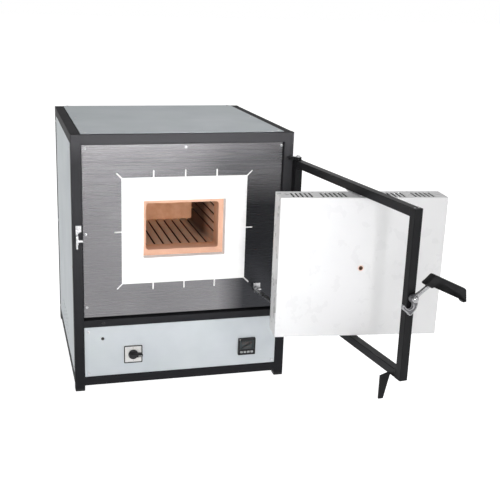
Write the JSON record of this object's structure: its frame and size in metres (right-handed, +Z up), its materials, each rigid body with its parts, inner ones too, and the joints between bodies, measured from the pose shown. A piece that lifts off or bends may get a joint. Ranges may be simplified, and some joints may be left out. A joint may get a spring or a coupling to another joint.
{
  "type": "pottery kiln",
  "caption": "Bench-top electric kiln: box cabinet on a black tube frame, ribbed ceramic chamber, and a side door panel on a swinging frame with a lever latch.",
  "frame": {"origin": "centre of the cabinet's footprint, on the surface that the kiln stands on", "axes": "+Z up, -Y towards the operator in front of the chamber mouth, +X towards the hinge side"},
  "size_m": [0.8143, 1.148, 0.6753],
  "materials": {
    "frame_paint": "satin",
    "sheet_paint": "satin",
    "galvanised_sheet": "satin",
    "stainless_plate": "brushed",
    "fibre_board": "matt",
    "fired_ceramic": "matt",
    "resistance_wire": "oxidised",
    "door_paint": "satin",
    "black_plastic": "matt",
    "grey_plastic": "satin",
    "zinc_steel": "zinc plated",
    "cast_zinc": "cast",
    "aluminium": "satin",
    "brass": "satin",
    "copper_ring": "satin"
  },
  "bodies": {
    "cabinet": {"post_front_left": "frame_paint", "post_front_right": "frame_paint", "post_rear_left": "frame_paint", "post_rear_right": "frame_paint", "top_rails": "frame_paint", "bottom_rails": "frame_paint", "middle_rail": "frame_paint", "foot_glides": "black_plastic", "top_cover": "sheet_paint", "side_panel_left": "sheet_paint", "side_panel_right": "sheet_paint", "rear_panel": "sheet_paint", "floor_pan": "galvanised_sheet", "divider_shelf": "galvanised_sheet", "front_plate": "stainless_plate", "front_board": "fibre_board", "muffle": "fired_ceramic", "heating_coils": "resistance_wire", "thermocouple": "fired_ceramic", "insulation": "fibre_board", "control_panel": "sheet_paint", "controller_case": "black_plastic", "controller_display": "grey_plastic", "switch_plate": "grey_plastic", "switch_body": "black_plastic", "indicator_lamp": "black_plastic", "power_relay": "aluminium", "terminal_block": "black_plastic", "cable_gland": "black_plastic", "limit_switch": "black_plastic", "keeper": "zinc_steel", "keeper_pin": "zinc_steel", "hinge_lugs": "frame_paint", "hinge_pins": "zinc_steel", "link_bracket": "zinc_steel", "link_pin": "zinc_steel", "cabinet_screws": "zinc_steel"},
    "door_frame": {"door_bar_hinge": "frame_paint", "door_bar_top": "frame_paint", "door_bar_bottom": "frame_paint", "door_bar_latch": "frame_paint", "pivot_carriers": "zinc_steel", "pivot_pins": "zinc_steel", "switch_tab": "frame_paint", "latch_spindle": "zinc_steel"},
    "door_panel": {"door_shell": "door_paint", "door_rear_plate": "galvanised_sheet", "door_plug": "fibre_board", "peephole_tube": "copper_ring", "pivot_bushes": "brass", "link_stud": "zinc_steel"},
    "link": {"parallel_link": "zinc_steel"},
    "latch": {"latch_hook": "cast_zinc", "latch_grip": "black_plastic"},
    "switch_lever": {"switch_lever": "black_plastic"},
    "limit_plunger": {"limit_plunger": "black_plastic"},
    "key_1": {"controller_key_1": "grey_plastic"},
    "key_2": {"controller_key_2": "grey_plastic"},
    "key_3": {"controller_key_3": "grey_plastic"},
    "key_4": {"controller_key_4": "grey_plastic"}
  },
  "joints": [
    {"name": "door_hinge", "type": "hinge", "parent": "cabinet", "child": "door_frame", "pos_m": [0.292, -0.2905, 0.4165], "axis": [0, 0, 1], "range_deg": [-94.6, 15]},
    {"name": "panel_pivot", "type": "hinge", "parent": "door_frame", "child": "door_panel", "pos_m": [0.32787, -0.59127, 0.4165], "axis": [0, 0, 1], "range_deg": [-16.31, 101.8]},
    {"name": "link_swing", "type": "hinge", "parent": "cabinet", "child": "link", "pos_m": [0.19721, -0.2785, 0.251], "axis": [0, 0, 1], "range_deg": [-97.08, 15.56]},
    {"name": "latch_lever", "type": "hinge", "parent": "door_frame", "child": "latch", "pos_m": [0.35736, -0.83862, 0.417], "axis": [0.1184, -0.993, 0], "range_deg": [-51.12, 20]},
    {"name": "main_switch", "type": "hinge", "parent": "cabinet", "child": "switch_lever", "pos_m": [-0.132, -0.2815, 0.0935], "axis": [0, -1, 0], "range_deg": [0, 90]},
    {"name": "door_switch_press", "type": "slide", "parent": "cabinet", "child": "limit_plunger", "axis": [0, 1, 0], "range_m": [0, 0.003], "stiffness_N_per_m": 400},
    {"name": "key_1_press", "type": "slide", "parent": "cabinet", "child": "key_1", "axis": [0, 1, 0], "range_m": [0, 0.0007], "stiffness_N_per_m": 300},
    {"name": "key_2_press", "type": "slide", "parent": "cabinet", "child": "key_2", "axis": [0, 1, 0], "range_m": [0, 0.0007], "stiffness_N_per_m": 300},
    {"name": "key_3_press", "type": "slide", "parent": "cabinet", "child": "key_3", "axis": [0, 1, 0], "range_m": [0, 0.0007], "stiffness_N_per_m": 300},
    {"name": "key_4_press", "type": "slide", "parent": "cabinet", "child": "key_4", "axis": [0, 1, 0], "range_m": [0, 0.0007], "stiffness_N_per_m": 300}
  ],
  "couplings": [
    {"joint": "panel_pivot", "follows": "door_hinge", "ratio": -1.074},
    {"joint": "link_swing", "follows": "door_hinge", "ratio": 1.0241}
  ]
}
